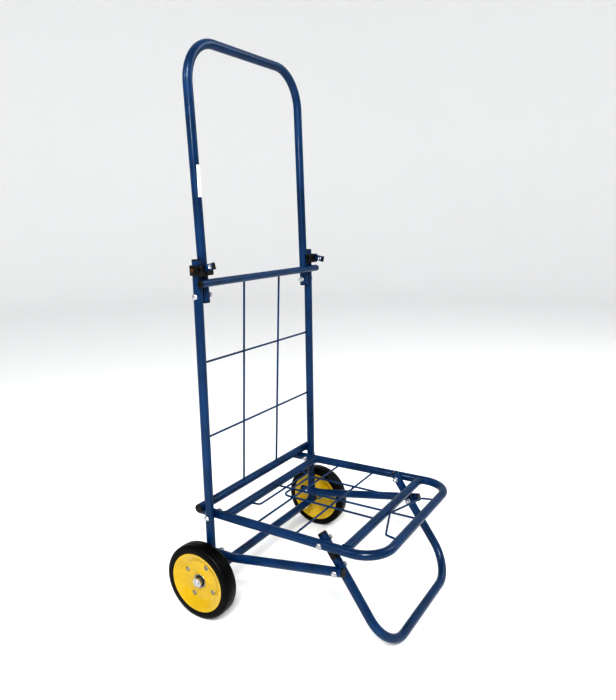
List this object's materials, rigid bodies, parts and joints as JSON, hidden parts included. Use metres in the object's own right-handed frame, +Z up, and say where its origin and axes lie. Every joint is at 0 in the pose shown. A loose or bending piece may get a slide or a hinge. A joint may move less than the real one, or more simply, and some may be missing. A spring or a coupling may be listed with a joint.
{
  "type": "folding hand cart",
  "caption": "Folding hand luggage cart with a tube-and-wire back frame, fold-up load platform on a U-shaped front leg, disc wheels and a fold-down U handle.",
  "frame": {"origin": "on the floor, under the middle of the cart's outline", "axes": "+Z up, -Y towards the load platform and front leg, X along the axle"},
  "size_m": [0.48, 0.4502, 1.07],
  "materials": {
    "blue_enamel": "glossy blue stove enamel on steel tube and wire",
    "yellow_enamel": "glossy yellow enamel on pressed steel",
    "black_plastic": "moulded black plastic, satin",
    "bright_zinc": "bright zinc plating",
    "black_oxide": "blackened steel pin",
    "wheel_rivet_zinc": "zinc-plated rivet steel",
    "bearing_steel": "ground bearing steel and its dark seal",
    "yellow_zinc": "yellow-passivated zinc screw",
    "black_rubber": "solid moulded black rubber",
    "white_label": "blank white vinyl label"
  },
  "bodies": {
    "frame": {"upright_left": "blue_enamel", "upright_right": "blue_enamel", "latch_housing_left": "black_plastic", "latch_housing_right": "black_plastic", "top_crossbar": "blue_enamel", "rear_bar": "blue_enamel", "bar_plugs": "black_plastic", "upright_plugs": "black_plastic", "back_wires_upright": "blue_enamel", "back_wires_level": "blue_enamel", "pivot_bolts": "bright_zinc", "pivot_nuts": "bright_zinc", "latch_pins": "black_oxide", "latch_screws": "yellow_zinc", "axle_tube": "blue_enamel", "axle_rod": "bright_zinc", "axle_spacers": "bright_zinc", "axle_washers": "bright_zinc", "axle_nuts": "bright_zinc"},
    "platform": {"platform_frame": "blue_enamel", "platform_plugs": "black_plastic", "leg_pivot_bolts": "bright_zinc", "leg_pivot_nuts": "bright_zinc", "platform_rear_crossbar": "blue_enamel", "platform_front_crossbar": "blue_enamel", "cross_wire_rear": "blue_enamel", "cross_wire_front": "blue_enamel", "hairpin_wire": "blue_enamel", "centre_wires": "blue_enamel", "rear_staple_wire": "blue_enamel", "front_loop_wire": "blue_enamel"},
    "leg": {"front_leg": "blue_enamel", "leg_plugs": "black_plastic", "arm_bolt_nuts": "bright_zinc", "leg_sleeve": "black_plastic"},
    "handle": {"handle": "blue_enamel", "handle_plugs": "black_plastic", "handle_label": "white_label"},
    "arm_left": {"arm_left": "blue_enamel", "arm_plugs_left": "black_plastic", "arm_bolt_left": "bright_zinc"},
    "latch_left": {"latch_lever_left": "blue_enamel", "latch_rivet_left": "bright_zinc", "latch_cap_left": "black_plastic"},
    "wheel_left": {"tyre_left": "black_rubber", "wheel_disc_outer_left": "yellow_enamel", "wheel_disc_inner_left": "yellow_enamel", "wheel_rivets_left": "wheel_rivet_zinc", "hub_bearing_left": "bearing_steel"},
    "arm_right": {"arm_right": "blue_enamel", "arm_plugs_right": "black_plastic", "arm_bolt_right": "bright_zinc"},
    "latch_right": {"latch_lever_right": "blue_enamel", "latch_rivet_right": "bright_zinc", "latch_cap_right": "black_plastic"},
    "wheel_right": {"tyre_right": "black_rubber", "wheel_disc_outer_right": "yellow_enamel", "wheel_disc_inner_right": "yellow_enamel", "wheel_rivets_right": "wheel_rivet_zinc", "hub_bearing_right": "bearing_steel"}
  },
  "joints": [
    {"name": "platform_fold", "type": "hinge", "parent": "frame", "child": "platform", "pos_m": [0, 0.15005, 0.1918], "axis": [-1, 0, 0], "range_deg": [0, 76]},
    {"name": "leg_fold", "type": "hinge", "parent": "platform", "child": "leg", "pos_m": [0, -0.09145, 0.1918], "axis": [1, 0, 0], "range_deg": [0, 105]},
    {"name": "arm_left_fold", "type": "hinge", "parent": "frame", "child": "arm_left", "pos_m": [-0.1728, 0.15005, 0.107], "axis": [-1, 0, 0], "range_deg": [0, 67.5]},
    {"name": "arm_right_fold", "type": "hinge", "parent": "frame", "child": "arm_right", "pos_m": [0.1728, 0.15005, 0.107], "axis": [-1, 0, 0], "range_deg": [0, 67.5]},
    {"name": "handle_fold", "type": "hinge", "parent": "frame", "child": "handle", "pos_m": [0, 0.15005, 0.621], "axis": [-1, 0, 0], "range_deg": [0, 168]},
    {"name": "latch_left_turn", "type": "hinge", "parent": "frame", "child": "latch_left", "pos_m": [-0.1905, 0.13505, 0.671], "axis": [-1, 0, 0], "range_deg": [-25, 45]},
    {"name": "latch_right_turn", "type": "hinge", "parent": "frame", "child": "latch_right", "pos_m": [0.1905, 0.13505, 0.671], "axis": [-1, 0, 0], "range_deg": [-3, 70]},
    {"name": "wheel_left_spin", "type": "hinge", "parent": "frame", "child": "wheel_left", "pos_m": [-0.223, 0.15005, 0.075], "axis": [1, 0, 0], "continuous": true},
    {"name": "wheel_right_spin", "type": "hinge", "parent": "frame", "child": "wheel_right", "pos_m": [0.223, 0.15005, 0.075], "axis": [1, 0, 0], "continuous": true}
  ],
  "couplings": [
    {"joint": "leg_fold", "follows": "platform_fold", "ratio": 1.3753},
    {"joint": "arm_left_fold", "follows": "platform_fold", "ratio": 0.882},
    {"joint": "arm_right_fold", "follows": "platform_fold", "ratio": 0.882}
  ]
}
